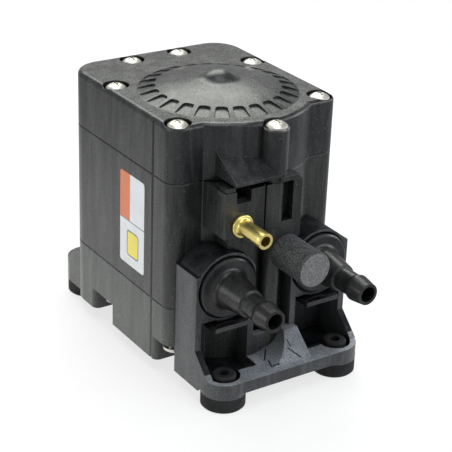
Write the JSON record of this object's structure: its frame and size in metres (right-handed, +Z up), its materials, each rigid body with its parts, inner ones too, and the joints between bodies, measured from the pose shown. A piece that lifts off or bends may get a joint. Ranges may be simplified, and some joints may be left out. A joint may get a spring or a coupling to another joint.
{
  "type": "bag-in-box pump",
  "caption": "Gas-driven double-diaphragm pump for bag-in-box syrup, with two swivelling hose barbs, a brass gas barb, a porous exhaust muffler and rubber feet.",
  "frame": {"origin": "middle of the four foot bolts, on the surface the pump stands on", "axes": "+Z up along the diaphragms' stroke, -Y the front with the hose barbs, +X to the right seen from the front"},
  "size_m": [0.088, 0.1652, 0.1343],
  "materials": {
    "black_moulding": "satin",
    "centre_moulding": "satin",
    "bracket_moulding": "satin",
    "fitting_moulding": "gloss",
    "clip_moulding": "gloss",
    "nickel": "polished",
    "brass": "polished",
    "porous_plastic": "matte",
    "foot_rubber": "matte",
    "diaphragm_rubber": "matte",
    "seal_rubber": "matte",
    "piston_plastic": "satin",
    "valve_silicone": "satin",
    "steel": "satin"
  },
  "bodies": {
    "pump": {"upper_cover": "black_moulding", "centre_body": "centre_moulding", "lower_housing": "black_moulding", "front_bracket": "bracket_moulding", "cover_screws": "nickel", "base_screws": "nickel", "gas_fitting_clip": "clip_moulding", "exhaust_muffler": "porous_plastic", "foot_front_left": "foot_rubber", "foot_front_right": "foot_rubber", "foot_rear_left": "foot_rubber", "foot_rear_right": "foot_rubber", "upper_diaphragm": "diaphragm_rubber", "lower_diaphragm": "diaphragm_rubber", "shaft_seals": "seal_rubber", "shuttle_sleeve": "piston_plastic", "inlet_check_valves": "valve_silicone", "outlet_check_valves": "valve_silicone", "check_valve_seats": "piston_plastic", "bracket_seals": "seal_rubber"},
    "pistons": {"upper_inner_piston": "piston_plastic", "upper_outer_piston": "piston_plastic", "lower_inner_piston": "piston_plastic", "lower_outer_piston": "piston_plastic", "piston_shaft": "steel", "piston_screws": "steel"},
    "spool": {"shuttle_spool": "piston_plastic", "spool_seals": "seal_rubber"},
    "inlet_fitting": {"inlet_port_fitting": "fitting_moulding", "inlet_port_seal": "seal_rubber"},
    "outlet_fitting": {"outlet_port_fitting": "fitting_moulding", "outlet_port_seal": "seal_rubber"},
    "gas_fitting": {"gas_inlet_fitting": "brass", "gas_inlet_seal": "seal_rubber"},
    "inlet_lock": {"inlet_lock_clip": "clip_moulding"},
    "outlet_lock": {"outlet_lock_clip": "clip_moulding"}
  },
  "joints": [
    {"name": "piston_stroke", "type": "slide", "parent": "pump", "child": "pistons", "axis": [0, 0, 1], "range_m": [-0.004, 0.004], "deforming": ["upper_diaphragm", "lower_diaphragm"]},
    {"name": "shuttle_shift", "type": "slide", "parent": "pump", "child": "spool", "axis": [0, 0, 1], "range_m": [0, 0.006]},
    {"name": "inlet_swivel", "type": "hinge", "parent": "pump", "child": "inlet_fitting", "pos_m": [-0.0248, -0.055, 0.053], "axis": [0, 1, 0], "continuous": true},
    {"name": "outlet_swivel", "type": "hinge", "parent": "pump", "child": "outlet_fitting", "pos_m": [0.0248, -0.055, 0.053], "axis": [0, 1, 0], "continuous": true},
    {"name": "gas_fitting_swivel", "type": "hinge", "parent": "pump", "child": "gas_fitting", "pos_m": [-0.0195, -0.056, 0.082], "axis": [0, 1, 0], "continuous": true},
    {"name": "inlet_lock_slide", "type": "slide", "parent": "pump", "child": "inlet_lock", "axis": [0, 0, -1], "range_m": [0, 0.015]},
    {"name": "outlet_lock_slide", "type": "slide", "parent": "pump", "child": "outlet_lock", "axis": [0, 0, -1], "range_m": [0, 0.015]}
  ]
}
